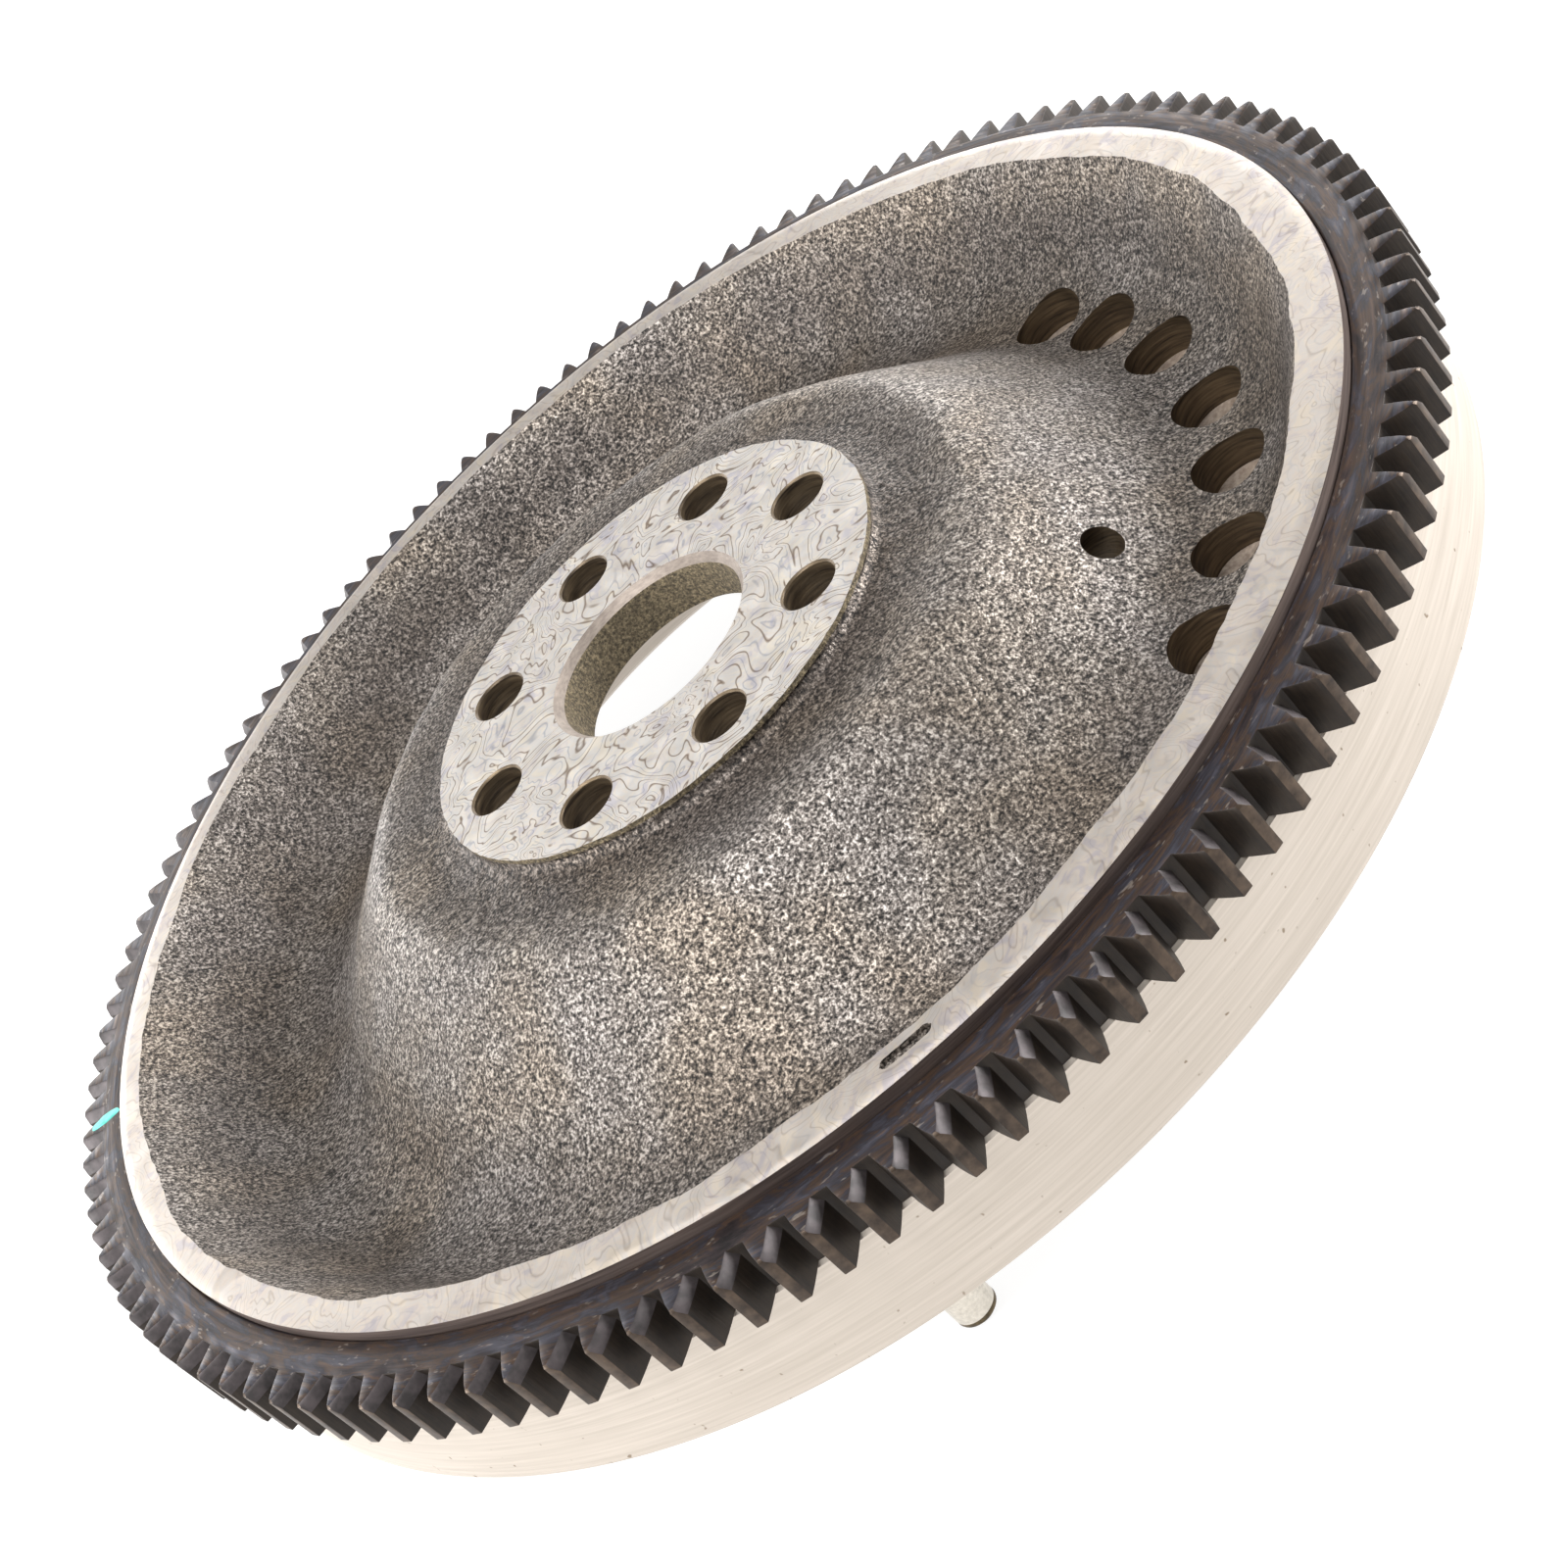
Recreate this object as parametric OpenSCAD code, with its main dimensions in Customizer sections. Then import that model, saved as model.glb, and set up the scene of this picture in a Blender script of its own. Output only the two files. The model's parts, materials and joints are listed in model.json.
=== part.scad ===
// Engine flywheel: an iron casting turned on its working faces, with a starter ring gear
// shrunk onto its rim and three dowel pins that locate the clutch cover. Millimetres.
// The spin axis is Z. The crank seating face lies on Z = 0 and faces +Z, and the clutch
// side faces -Z.

/* [Hub] */
// Height of the seating face above the cast ring around it
seat_proud = 3; // [2:0.1:4]
// Thickness of the hub plate that the crank bolts clamp
plate_t = 10.5; // [8:0.1:12.5]
// Diameter of the centre bore
bore_d = 42; // [30:0.1:50]
// Leg of the chamfer at the mouth of the centre bore
bore_chamfer = 1.5; // [0.5:0.1:2.5]
// Number of crank bolt holes
crank_holes = 8; // [4:1:9]
// Pitch circle diameter of the crank bolt holes
crank_pcd = 78; // [72:0.1:82]
// Diameter of a crank bolt hole
crank_hole_d = 11.4; // [8:0.1:13]
// Width of the seating face outside the crank bolt holes
seat_margin = 5.7; // [3:0.1:9]
// Leg of the chamfer at the mouth of a crank bolt hole
crank_hole_chamfer = 0.4; // [0.2:0.1:1]
// Angle of the first crank bolt hole
crank_hole_angle = 0.2; // [0:0.1:45]

/* [Casting] */
// Width of the cast ring around the seating face, out to the unrounded shoulder
ring_w = 20.8; // [16:0.1:24]
// Angle at which the cast ring falls away from the seating face
ring_angle = 3.5; // [0:0.5:6]
// Angle of the hub's cone below the horizontal
cone_angle = 39.7; // [36:0.1:42]
// Rounding radius between the cast ring and the cone
shoulder_round = 14; // [6:0.5:18]
// Angle of the rim's inner wall above the horizontal
wall_angle = 52; // [48:0.5:55]
// Thickness of the casting between the bottom of the dish and the clutch face
dish_floor_t = 14.2; // [13:0.1:18]
// Rounding radius at the bottom of the dish
dish_round = 19; // [15:0.5:21]
// Thickness of the cone between its two cast faces
cone_t = 10; // [8:0.1:11]
// Rounding radius of the corners inside the clutch-side recess
recess_round = 7; // [3:0.5:9]
// Rounding radius at the foot of the seating face's edge
seat_round = 2; // [1:0.1:2]

/* [Rim] */
// Width of the rim's turned face
rim_w = 7.2; // [5:0.1:9]
// Depth of the rim face below the crank seating face
rim_drop = 7.8; // [6:0.1:9]
// Radial width of the bevel around the rim face
rim_bevel_w = 1.5; // [0.5:0.1:2]
// Depth of the bevel around the rim face
rim_bevel_h = 0.4; // [0.2:0.1:0.8]
// Height of the outer cylinder behind the ring gear above the tooth roots
ledge_h = 0.6; // [0:0.1:2]
// Distance from the crank seating face to the clutch face
body_t = 43.2; // [40:0.1:48]
// Leg of the chamfers on the turned outer edges
edge_chamfer = 0.6; // [0.3:0.1:1]

/* [Ring gear] */
// Number of teeth on the ring gear
gear_teeth = 119; // [117:1:123]
// Module of the ring gear (10 diametral pitch)
gear_module = 2.54; // [2.5:0.01:2.6]
// Pressure angle of the teeth
pressure_angle = 20; // [17.5:0.5:22.5]
// Tooth thickness at the pitch circle as a share of the circular pitch
tooth_share = 0.5; // [0.46:0.01:0.51]
// Depth of a tooth from its tip to its root
tooth_depth = 5.9; // [5.4:0.1:6.2]
// Thickness of the ring gear between its bore and the tooth roots
gear_wall = 6.6; // [5:0.1:8]
// Width of the ring gear along the spin axis
gear_w = 11; // [8:0.1:13]
// Depth of the ring gear's front face below the rim face
gear_step = 2.6; // [1:0.1:4]
// Leg of the chamfer on the front corners of the tooth tips
tip_chamfer = 0.5; // [0.2:0.1:0.8]
// Leg of the chamfer at the front edge of the ring gear's bore
gear_bore_chamfer = 0.5; // [0.2:0.1:1]
// Angle of the first tooth
gear_angle = -0.28; // [-1.5:0.01:1.5]

/* [Clutch side] */
// Diameter of the recess for the clutch disc's hub, at the clutch face
recess_d = 157; // [150:0.5:160]
// Leg of the chamfer around the mouth of the recess
recess_chamfer = 1; // [0.5:0.1:2]
// Width of the clutch cover's seat, from the outer edge to the friction face
cover_seat_w = 21.4; // [16:0.1:26]
// Width of the relief groove around the friction face
relief_w = 2.5; // [1:0.1:4]
// Depth of the relief groove
relief_h = 0.8; // [0.3:0.1:1.5]
// Number of clutch-cover bolt holes
cover_bolts = 6; // [3:3:9]
// Distance from the outer edge to the circle of the clutch-cover bolt holes
cover_inset = 7.4; // [6:0.1:9]
// Bored diameter of a clutch-cover bolt hole, ready for an M8 thread
cover_hole_d = 6.8; // [5:0.1:7]
// Iron left between the end of a clutch-cover bolt hole and the ring gear's shoulder
cover_hole_margin = 3.8; // [2:0.1:8]
// Leg of the chamfer at the mouth of a clutch-cover bolt hole
cover_hole_chamfer = 0.4; // [0.2:0.1:1]
// Distance from the outer edge to the circle of the dowel pins
dowel_inset = 7.4; // [6:0.1:9]
// Angle of the first dowel pin
dowel_angle = 15.5; // [0:0.5:120]
// Diameter of the free end of a dowel pin
dowel_d = 7.5; // [6:0.1:8]
// How much wider the pressed-in end of a dowel pin is than its free end
dowel_step = 0.5; // [0.4:0.1:1]
// Length of a dowel pin that stands out of the clutch face
dowel_out = 10.3; // [8:0.1:16]
// Length of a dowel pin inside the casting
dowel_in = 11; // [8:0.1:13]
// Leg of the chamfer on both ends of a dowel pin
dowel_chamfer = 1; // [0.4:0.1:1.5]

/* [Drilled and cast marks] */
// Angles of the balancing holes
balance_angles = [18.3, 8.7, -3, -16.3, -28, -40.2, -51.8];
// Distance from the middle of the dish out to the circle of the balancing holes
balance_offset = 0.3; // [-2:0.1:2]
// Diameter of a balancing hole
balance_d = 15; // [10:0.1:16]
// Depth of a balancing hole's floor below the bottom of the dish
balance_depth = 6.6; // [4:0.1:8]
// Depth of the drill point below that floor
balance_point = 1.2; // [0.5:0.1:2]
// Distance from the recess wall outwards to the mouth of the drain hole
drain_offset = 10.1; // [8:0.1:13]
// Angle of the drain hole around the spin axis
drain_angle = -39.5; // [-180:0.5:180]
// Diameter of the drain hole
drain_d = 7.9; // [5:0.1:9]
// Angle of the middle of the pocket in the rim face
pocket_angle = -96; // [-180:0.5:180]
// Distance from the ring gear's seat to the pocket's centre line
pocket_inset = 4.5; // [3:0.1:5]
// Width of the pocket
pocket_w = 2.3; // [1:0.1:3]
// Angle that the pocket's centre line spans
pocket_span = 3.4; // [2:0.1:8]
// Depth of the pocket below the rim face
pocket_h = 1; // [0.4:0.1:2]

/* [Hidden] */
$fn = 96;
arc_steps = 8;
flank_steps = 3;
dowel_pins = 3;
through = 1;
iron = [0.5, 0.48, 0.45];
gear_steel = [0.29, 0.26, 0.24];
pin_steel = [0.8, 0.79, 0.77];

function dir(a) = [cos(a), sin(a)];
function left(a) = [-sin(a), cos(a)];
// Point where the line through p at angle a crosses the line through q at angle b.
function meet(p, a, q, b) = p + dir(a) * ((q - p) * left(b)) / (dir(a) * left(b));
function arc(centre, r, a, b) =
    [for (i = [0:arc_steps]) centre + r * dir(a + (b - a) * i / arc_steps)];
// Length that a round of radius r takes from each side of a corner between angles a and b.
function reach(a, b, r) = r * abs(tan((b - a) / 2));
// Centre of the round at p, for an outline that runs in at angle a and out at angle b.
function round_centre(p, a, b, r) = p - reach(a, b, r) * dir(a) + sign(b - a) * r * left(a);
function corner(p, a, b, r) = let (turn = sign(b - a) * 90)
    arc(round_centre(p, a, b, r), r, a - turn, b - turn);
function involute(angle) = tan(angle) * 180 / PI - angle;

// Ring gear, from its teeth inwards.
pitch_r = gear_module * gear_teeth / 2;
tip_r = pitch_r + gear_module;
root_r = tip_r - tooth_depth;
base_r = pitch_r * cos(pressure_angle);
gear_seat_r = root_r - gear_wall;
gear_front = -rim_drop - gear_step;
gear_back = gear_front - gear_w;

// Casting, from the rim and the hub towards each other.
body_r = root_r + ledge_h;
rim_edge = [gear_seat_r - rim_w, -rim_drop];
bore_r = bore_d / 2;
seat_r = (crank_pcd + crank_hole_d) / 2 + seat_margin;
seat_foot = [seat_r, -seat_proud];
shoulder = meet(seat_foot, -ring_angle, [seat_r + ring_w, 0], 90);
clutch_z = -body_t;
dish_corner = meet(shoulder, -cone_angle, rim_edge, wall_angle);
dish_centre = round_centre(dish_corner, -cone_angle, wall_angle, dish_round);
// The dish has a flat floor where its cone and its wall would meet below that floor.
floor_z = clutch_z + dish_floor_t;
floor_in = meet(shoulder, -cone_angle, [0, floor_z], 0);
floor_out = meet(rim_edge, wall_angle, [0, floor_z], 0);
flat_in = floor_in[0] + reach(-cone_angle, 0, dish_round);
flat_out = floor_out[0] - reach(0, wall_angle, dish_round);
has_floor = flat_out > flat_in;
dish_bottom = has_floor ? [(flat_in + flat_out) / 2, floor_z] : dish_centre - [0, dish_round];
dish_outline = has_floor ? concat(corner(floor_in, -cone_angle, 0, dish_round),
    corner(floor_out, 0, wall_angle, dish_round))
    : corner(dish_corner, -cone_angle, wall_angle, dish_round);

// Clutch side.
cover_hole_depth = gear_back - clutch_z - cover_hole_margin;
recess_r = recess_d / 2;
friction_r = body_r - cover_seat_w;
cover_r = body_r - cover_inset;
dowel_r = body_r - dowel_inset;
dowel_press_d = dowel_d + dowel_step;
inner_cone = shoulder - cone_t * left(-cone_angle);
plate_corner = meet(inner_cone, -cone_angle, [0, -plate_t], 0);
recess_corner = meet(inner_cone, -cone_angle, [recess_r, 0], 90);
// The two rounds inside the recess share the length of the cone between them.
recess_fillet = min(recess_round, 0.95 * norm(recess_corner - plate_corner)
    / (reach(90, 180 - cone_angle, 1) + reach(180 - cone_angle, 180, 1)));

body_outline = concat(
    [[bore_r, -plate_t], [bore_r, -bore_chamfer], [bore_r + bore_chamfer, 0], [seat_r, 0]],
    corner(seat_foot, -90, -ring_angle, seat_round),
    corner(shoulder, -ring_angle, -cone_angle, shoulder_round),
    dish_outline,
    [rim_edge, [gear_seat_r - rim_bevel_w, -rim_drop], [gear_seat_r, -rim_drop - rim_bevel_h]],
    [[gear_seat_r, gear_back], [body_r - edge_chamfer, gear_back]],
    [[body_r, gear_back - edge_chamfer], [body_r, clutch_z + edge_chamfer]],
    [[body_r - edge_chamfer, clutch_z], [friction_r + relief_w, clutch_z]],
    [[friction_r + relief_w, clutch_z + relief_h], [friction_r, clutch_z + relief_h]],
    [[friction_r, clutch_z], [recess_r + recess_chamfer, clutch_z]],
    [[recess_r, clutch_z + recess_chamfer]],
    corner(recess_corner, 90, 180 - cone_angle, recess_fillet),
    corner(plate_corner, 180 - cone_angle, 180, recess_fillet)
);

module around(count, radius, first) {
    for (i = [0:count - 1]) rotate(first + i * 360 / count) translate([radius, 0, 0]) children();
}

// Hole with a chamfered mouth on the plane Z = 0 and its wall below it.
module mouthed_hole(d, depth, chamfer) {
    translate([0, 0, -depth]) cylinder(d = d, h = depth + through);
    translate([0, 0, -chamfer]) cylinder(d1 = d, d2 = d + 2 * (chamfer + through), h = chamfer + through);
}

// Blind hole drilled into the bottom of the dish, ending in a flat cone.
module balance_hole() {
    r = balance_d / 2;
    translate([dish_bottom[0] + balance_offset, 0, dish_bottom[1] - balance_depth]) rotate_extrude()
        polygon([[0, -balance_point], [r, 0], [r, body_t], [0, body_t]]);
}

// Hole drilled square to the hub's cone, from the dish into the clutch-side recess.
module drain_hole() {
    mouth = meet(shoulder, -cone_angle, [recess_r + drain_offset, 0], 90);
    length = drain_offset / sin(cone_angle) + drain_d;
    rotate(drain_angle) translate([mouth[0], 0, mouth[1]]) rotate([0, cone_angle, 0])
        translate([0, 0, -length]) cylinder(d = drain_d, h = length + drain_d);
}

// Shallow pocket with round ends, sunk into the rim face along a stretch of its circle.
module rim_pocket() {
    half = pocket_span / 2;
    middle = gear_seat_r - pocket_inset;
    r = pocket_w / 2;
    translate([0, 0, -rim_drop - pocket_h]) rotate(pocket_angle) linear_extrude(pocket_h + through)
        polygon(concat(arc([0, 0], middle + r, -half, half),
            arc(middle * dir(half), r, half, half + 180),
            arc([0, 0], middle - r, half, -half),
            arc(middle * dir(-half), r, 180 - half, 360 - half)));
}

module flywheel_body() {
    color(iron) difference() {
        rotate_extrude() polygon(body_outline);
        around(crank_holes, crank_pcd / 2, crank_hole_angle)
            mouthed_hole(crank_hole_d, plate_t + through, crank_hole_chamfer);
        translate([0, 0, clutch_z]) mirror([0, 0, 1]) {
            around(cover_bolts, cover_r, dowel_angle + 180 / cover_bolts)
                mouthed_hole(cover_hole_d, cover_hole_depth, cover_hole_chamfer);
            around(dowel_pins, dowel_r, dowel_angle)
                translate([0, 0, -dowel_in]) cylinder(d = dowel_press_d, h = dowel_in + through);
        }
        for (a = balance_angles) rotate(a) balance_hole();
        drain_hole();
        rim_pocket();
    }
}

// One side of a tooth in steps from its root to its tip: radius, and angle off the middle.
half_tooth = tooth_share * 180 / gear_teeth + involute(pressure_angle);
function flank(i) = let (r = root_r + tooth_depth * i / flank_steps)
    [r, half_tooth - involute(acos(base_r / r))];
gear_outline = [for (t = [0:gear_teeth - 1]) let (middle = gear_angle + t * 360 / gear_teeth)
    each concat([for (i = [0:flank_steps]) flank(i)[0] * dir(middle - flank(i)[1])],
        [for (i = [flank_steps:-1:0]) flank(i)[0] * dir(middle + flank(i)[1])])];

module ring_gear() {
    color(gear_steel) difference() {
        translate([0, 0, gear_back]) linear_extrude(gear_w) polygon(gear_outline);
        translate([0, 0, gear_back - through]) cylinder(r = gear_seat_r, h = gear_w + 2 * through);
        translate([0, 0, gear_front - gear_bore_chamfer])
            cylinder(r1 = gear_seat_r, r2 = gear_seat_r + gear_bore_chamfer + through,
                h = gear_bore_chamfer + through);
        translate([0, 0, gear_front]) rotate_extrude()
            polygon([[tip_r - tip_chamfer, 0], [tip_r, -tip_chamfer], [tip_r + through, -tip_chamfer],
                [tip_r + through, through], [tip_r - tip_chamfer, through]]);
    }
}

// Stepped pin, pressed into the clutch face up to its step.
module dowel_pin(i) {
    length = dowel_in + dowel_out;
    r = dowel_d / 2;
    press_r = dowel_press_d / 2;
    color(pin_steel) rotate(dowel_angle + i * 360 / dowel_pins)
        translate([dowel_r, 0, clutch_z - dowel_out]) rotate_extrude()
            polygon([[0, 0], [r - dowel_chamfer, 0], [r, dowel_chamfer], [r, dowel_out],
                [press_r, dowel_out], [press_r, length - dowel_chamfer],
                [press_r - dowel_chamfer, length], [0, length]]);
}

flywheel_body();
ring_gear();
dowel_pin(0);  // dowel_pin_1
dowel_pin(1);  // dowel_pin_2
dowel_pin(2);  // dowel_pin_3
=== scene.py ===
import json
import math
import bmesh
import bpy
import numpy as np
from mathutils import Matrix, Vector, noise


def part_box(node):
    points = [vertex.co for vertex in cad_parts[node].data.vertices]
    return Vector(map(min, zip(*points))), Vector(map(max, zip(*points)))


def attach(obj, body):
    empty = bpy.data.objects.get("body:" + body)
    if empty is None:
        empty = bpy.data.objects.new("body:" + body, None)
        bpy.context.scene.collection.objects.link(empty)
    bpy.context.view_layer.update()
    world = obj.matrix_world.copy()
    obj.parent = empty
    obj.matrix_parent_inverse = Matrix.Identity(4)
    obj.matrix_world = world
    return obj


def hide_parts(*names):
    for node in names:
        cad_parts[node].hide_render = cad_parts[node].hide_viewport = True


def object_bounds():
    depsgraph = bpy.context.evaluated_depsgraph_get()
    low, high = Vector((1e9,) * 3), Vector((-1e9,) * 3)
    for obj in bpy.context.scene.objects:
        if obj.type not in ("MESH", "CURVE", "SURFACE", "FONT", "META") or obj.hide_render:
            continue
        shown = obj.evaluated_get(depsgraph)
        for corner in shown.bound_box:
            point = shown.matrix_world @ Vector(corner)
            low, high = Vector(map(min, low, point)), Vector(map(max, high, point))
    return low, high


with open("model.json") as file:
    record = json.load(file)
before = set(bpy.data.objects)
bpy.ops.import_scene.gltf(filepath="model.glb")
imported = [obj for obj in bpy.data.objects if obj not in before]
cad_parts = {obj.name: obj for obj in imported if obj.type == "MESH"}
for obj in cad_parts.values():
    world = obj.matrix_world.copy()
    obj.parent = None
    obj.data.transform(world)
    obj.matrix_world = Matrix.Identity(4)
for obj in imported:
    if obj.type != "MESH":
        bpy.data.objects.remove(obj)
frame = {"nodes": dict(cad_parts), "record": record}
cad_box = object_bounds()
scene = bpy.context.scene


# ---- Studio ------------------------------------------------------------------------------
# The wheel stands on its three dowel pins on a white light table in a dim white room. One soft
# box hangs over it on the left, and low ones stand round it to bring out the dish.

MM = 0.001
camera = bpy.data.objects.new("camera", bpy.data.cameras.new("camera"))
camera.data.lens = 67.21
camera.data.sensor_width = 36.0
camera.data.clip_start = 0.01
camera.data.clip_end = 50.0
camera.data.dof.use_dof = False
camera.matrix_world = Matrix((
    (0.7153, 0.6988, 0.0, -0.0000908),
    (-0.3594, 0.3679, -0.8576, -0.484403),
    (-0.5993, 0.6134, 0.5143, 0.247943),
    (0.0, 0.0, 0.0, 1.0)))
scene.collection.objects.link(camera)
scene.camera = camera
scene.view_settings.view_transform = "Standard"


def linear(code):
    """An sRGB hex colour as linear red, green and blue with an alpha of 1."""
    parts = [int(code[i:i + 2], 16) / 255 for i in (0, 2, 4)]
    return [c / 12.92 if c <= 0.04045 else ((c + 0.055) / 1.055) ** 2.4 for c in parts] + [1.0]


def add(tree, kind, inputs=None, **settings):
    """A new node with its settings; each input takes a value or a link from another socket."""
    made = tree.nodes.new(kind)
    for key, value in settings.items():
        setattr(made, key, value)
    for key, value in (inputs or {}).items():
        if isinstance(value, bpy.types.NodeSocket):
            tree.links.new(value, made.inputs[key])
        else:
            made.inputs[key].default_value = value
    return made


def new_material(name, **constants):
    """An empty material: the material, its node tree, its shader and the place on the object."""
    material = bpy.data.materials.new(name)
    material.use_nodes = True
    tree = material.node_tree
    tree.nodes.clear()
    shader = add(tree, "ShaderNodeBsdfPrincipled")
    for key, value in constants.items():
        shader.inputs[key.replace("_", " ")].default_value = value
    add(tree, "ShaderNodeOutputMaterial", {"Surface": shader.outputs[0]})
    return material, tree, shader, add(tree, "ShaderNodeTexCoord").outputs["Object"]


def ramp(tree, factor, *stops):
    """A colour ramp through (position, sRGB hex colour or grey level) stops."""
    made = add(tree, "ShaderNodeValToRGB", {"Fac": factor})
    while len(made.color_ramp.elements) < len(stops):
        made.color_ramp.elements.new(0.5)
    for element, (position, colour) in zip(made.color_ramp.elements, stops):
        element.position = position
        element.color = linear(colour) if isinstance(colour, str) else [colour] * 3 + [1.0]
    return made.outputs["Color"]


def math_node(tree, operation, a, b=0.0, c=0.0):
    """One sum on values or sockets."""
    return add(tree, "ShaderNodeMath", {0: a, 1: b, 2: c}, operation=operation).outputs[0]


def mix(tree, factor, a, b, blend_type="MIX"):
    """Two colours mixed, each a socket or an sRGB hex colour."""
    made = add(tree, "ShaderNodeMix", {"Factor": factor}, data_type="RGBA", blend_type=blend_type)
    for place, colour in ((6, a), (7, b)):
        if isinstance(colour, str):
            made.inputs[place].default_value = linear(colour)
        else:
            tree.links.new(colour, made.inputs[place])
    return made.outputs[2]


def grain(tree, place, size_mm, detail=2.0, roughness=0.5, warp=0.0):
    """Noise whose blobs are about size_mm across."""
    return add(tree, "ShaderNodeTexNoise", {
        "Vector": place, "Scale": 1000 / size_mm, "Detail": detail, "Roughness": roughness,
        "Distortion": warp}).outputs["Fac"]


def raise_by(tree, shader, height, depth_mm, below=None):
    """Bump of depth_mm on the shader, over another bump if there is one."""
    made = add(tree, "ShaderNodeBump", {"Height": height, "Distance": depth_mm * MM})
    if below is not None:
        tree.links.new(below, made.inputs["Normal"])
    tree.links.new(made.outputs[0], shader.inputs["Normal"])
    return made.outputs[0]


# A matt white light table, bright enough to show white through the bore.
lit_table, tree, shader, place = new_material(
    "light_table", Roughness=0.9, Emission_Color=linear("ffffff"), Emission_Strength=0.9)
tree.links.new(ramp(tree, grain(tree, place, 14), (0.3, "7f7e7d"), (0.7, "858483")),
               shader.inputs["Base Color"])
floor_mesh = bpy.data.meshes.new("floor")
floor_z = cad_box[0].z - 0.02 * MM
floor_mesh.from_pydata([(x, y, floor_z) for x, y in ((-9, -9), (9, -9), (9, 9), (-9, 9))],
                       [], [(0, 1, 2, 3)])
floor_mesh.materials.append(lit_table)
floor = bpy.data.objects.new("floor", floor_mesh)
scene.collection.objects.link(floor)

room = bpy.data.worlds.new("room")
room.use_nodes = True
room.node_tree.nodes["Background"].inputs["Color"].default_value = linear("ffffff")
room.node_tree.nodes["Background"].inputs["Strength"].default_value = 0.38
scene.world = room


LAMP_DISTANCE, LAMP_SIZE = 1.5, 0.8


def soft_box(name, azimuth, elevation, power):
    """A square area light that stands off in this direction and faces the middle of the wheel."""
    turn, rise = math.radians(azimuth), math.radians(elevation)
    towards = Vector((math.cos(turn) * math.cos(rise), math.sin(turn) * math.cos(rise),
                      math.sin(rise)))
    lamp = bpy.data.objects.new(name, bpy.data.lights.new(name, "AREA"))
    lamp.data.size = LAMP_SIZE
    lamp.data.energy = power
    lamp.location = towards * LAMP_DISTANCE
    lamp.rotation_mode = "QUATERNION"
    lamp.rotation_quaternion = (-towards).to_track_quat("-Z", "Y")
    scene.collection.objects.link(lamp)


soft_box("top_light", 216, 70, 24)
soft_box("right_light", 0, 12, 40)
soft_box("back_light", 60, 12, 7)
soft_box("back_left_light", 120, 12, 8)
soft_box("left_light", 180, 12, 24)


# ---- Casting -----------------------------------------------------------------------------
# A grey-iron casting with a dished web. It is shot-blasted as cast inside the dish, turned on
# its hub face, rim and outer cylinder, and drilled for bolts, pins and balance.

SEGMENTS = 1200
mounts = {m["name"]: m for m in frame["record"]["mounts"]}


def section(node, azimuth):
    """The closed outline in mm, as radius and height, of a CAD node cut along its axis."""
    cut = bmesh.new()
    cut.from_mesh(frame["nodes"][node].data)
    outward = Vector((math.cos(azimuth), math.sin(azimuth), 0))
    found = bmesh.ops.bisect_plane(cut, geom=cut.verts[:] + cut.edges[:] + cut.faces[:],
                                   plane_co=(0, 0, 0), plane_no=(-outward.y, outward.x, 0))
    beside = {}
    for edge in found["geom_cut"]:
        if isinstance(edge, bmesh.types.BMEdge) and edge.verts[0].co.dot(outward) > 0:
            a, b = ((round(v.co.dot(outward) / MM, 2), round(v.co.z / MM, 2)) for v in edge.verts)
            if a != b:
                beside.setdefault(a, set()).add(b)
                beside.setdefault(b, set()).add(a)
    cut.free()
    start = max(beside, key=lambda p: (p[1], -p[0]))
    line = [start, max(beside[start])]
    while True:
        onward = [p for p in beside[line[-1]] if p != line[-2]]
        if onward[0] == start:
            return line
        line.append(onward[0])


outline = section("flywheel_body", math.radians(70))
body_r = max(r for r, z in outline)
clutch_z = min(z for r, z in outline)
IRON, TURNED, RAW_WALL, CYLINDER, RIM_SIDE, GROUND, DRILLED, DRILL_FLOOR, BORE_EDGE = range(9)
# Round the outline from the bore's mouth: the finish of each stretch, the corner where the
# stretch ends (radius and height), and how far apart its points lie, all in mm.
STRETCHES = (
    (TURNED, (50.4, 0), 2.5), (RAW_WALL, (50.4, -1.1), 0.35), (IRON, (133.9, -7.8), 0.7),
    (TURNED, (139.7, -7.8), 1.0), (TURNED, (141.2, -8.2), 0.8), (RIM_SIDE, (141.2, -21.4), 3),
    (CYLINDER, (147.7, -43.2), 3), (GROUND, (79.5, -43.2), 6), (CYLINDER, (78.5, -26.6), 4),
    (IRON, (21, -10.5), 1.5), (RAW_WALL, (21, -1.5), 0.7), (BORE_EDGE, None, 0.6))
points, finishes, ends, first = [], [], [0], 0
for finish, corner, step in STRETCHES:
    last = len(outline)
    if corner:
        last = min(range(first + 1, last), key=lambda i: math.dist(outline[i], corner))
    for a, b in zip(outline[first:last], (outline + outline[:1])[first + 1:last + 1]):
        count = max(1, round(math.dist(a, b) / (step * 1)))
        points += [[a[0] + (b[0] - a[0]) * i / count, a[1] + (b[1] - a[1]) * i / count]
                   for i in range(count)]
        finishes += [finish] * count
    ends.append(len(points))
    first = last
seat_end, wall_end, dish_end, face_end = ends[1:5]


def rounded(line, reach):
    """The points of an open line with their corners blended over so many points each way."""
    line = np.array(line)
    ahead = 2 * line[0] - line[reach:0:-1]
    behind = 2 * line[-1] - line[-2:-reach - 2:-1]
    weights = np.hanning(2 * reach + 3)[1:-1]
    padded = np.vstack([ahead, line, behind])
    return np.stack([np.convolve(padded[:, i], weights / weights.sum(), "valid")
                     for i in (0, 1)], 1)


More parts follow.
